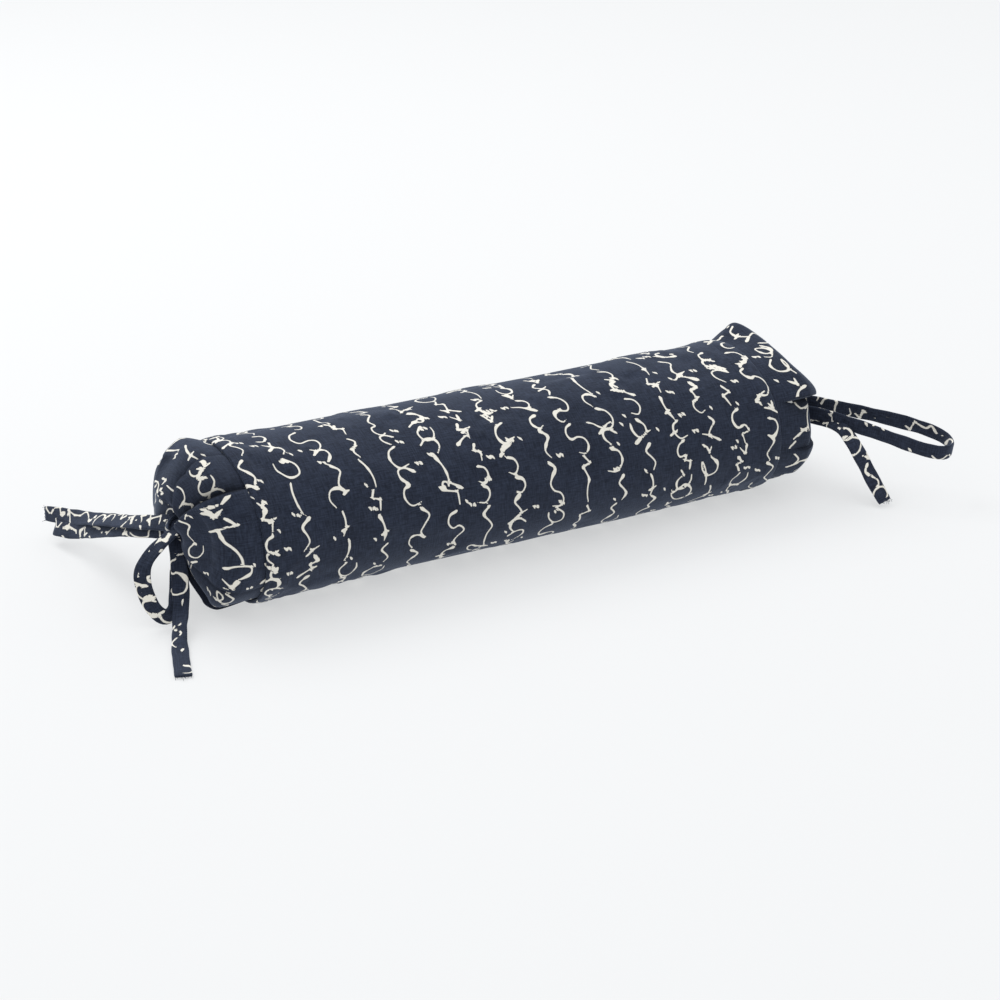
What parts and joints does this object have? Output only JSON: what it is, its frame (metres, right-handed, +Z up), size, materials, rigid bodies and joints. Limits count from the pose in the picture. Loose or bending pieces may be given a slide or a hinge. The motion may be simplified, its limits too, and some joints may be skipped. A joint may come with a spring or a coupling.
{
  "type": "brush roll case",
  "caption": "Long oval drawstring case of dark printed cotton, gathered and tied at both ends, with a sliding hemmed sleeve and a rolled brush holder inside.",
  "frame": {"origin": "on the surface the case lies on, under the middle of the bag", "axes": "+X along the case, +Z up, +Y away from the side that is seen"},
  "size_m": [0.5133, 0.231, 0.0906],
  "materials": {
    "printed_cloth": "navy plain-weave cotton with cream brush-stroke print",
    "tie_cloth": "the same printed cotton, folded and stitched into flat ties",
    "lining_cloth": "plain dark cotton lining",
    "wadding": "white polyester wadding",
    "roll_cloth": "natural cotton canvas"
  },
  "bodies": {
    "bag": {"bag_shell": "printed_cloth", "bag_wadding": "wadding", "bag_lining": "lining_cloth", "bag_lining_seam": "lining_cloth", "left_mouth": "printed_cloth", "right_mouth": "printed_cloth", "left_casing": "printed_cloth", "right_casing": "printed_cloth", "left_drawstring": "tie_cloth", "right_drawstring": "tie_cloth", "roll_panel": "roll_cloth", "roll_pockets": "roll_cloth", "roll_flap": "roll_cloth", "roll_band": "tie_cloth"},
    "sleeve": {"sleeve_shell": "printed_cloth", "sleeve_lining": "lining_cloth", "sleeve_lining_seam": "lining_cloth", "sleeve_hem_left": "printed_cloth", "sleeve_hem_right": "printed_cloth"},
    "left_bow": {"left_knot": "tie_cloth", "left_front_loop": "tie_cloth", "left_front_tail": "tie_cloth", "left_back_loop": "tie_cloth", "left_back_tail": "tie_cloth"},
    "right_bow": {"right_knot": "tie_cloth", "right_front_loop": "tie_cloth", "right_front_tail": "tie_cloth", "right_back_loop": "tie_cloth", "right_back_tail": "tie_cloth"}
  },
  "joints": [
    {"name": "sleeve_slide", "type": "slide", "parent": "bag", "child": "sleeve", "axis": [1, 0, 0], "range_m": [-0.018, 0.024]},
    {"name": "left_bow_lift", "type": "hinge", "parent": "bag", "child": "left_bow", "pos_m": [-0.2013, 0, 0.047], "axis": [0, 1, 0], "range_deg": [0, 55]},
    {"name": "right_bow_lift", "type": "hinge", "parent": "bag", "child": "right_bow", "pos_m": [0.2013, 0, 0.045], "axis": [0, -1, 0], "range_deg": [0, 55]}
  ]
}
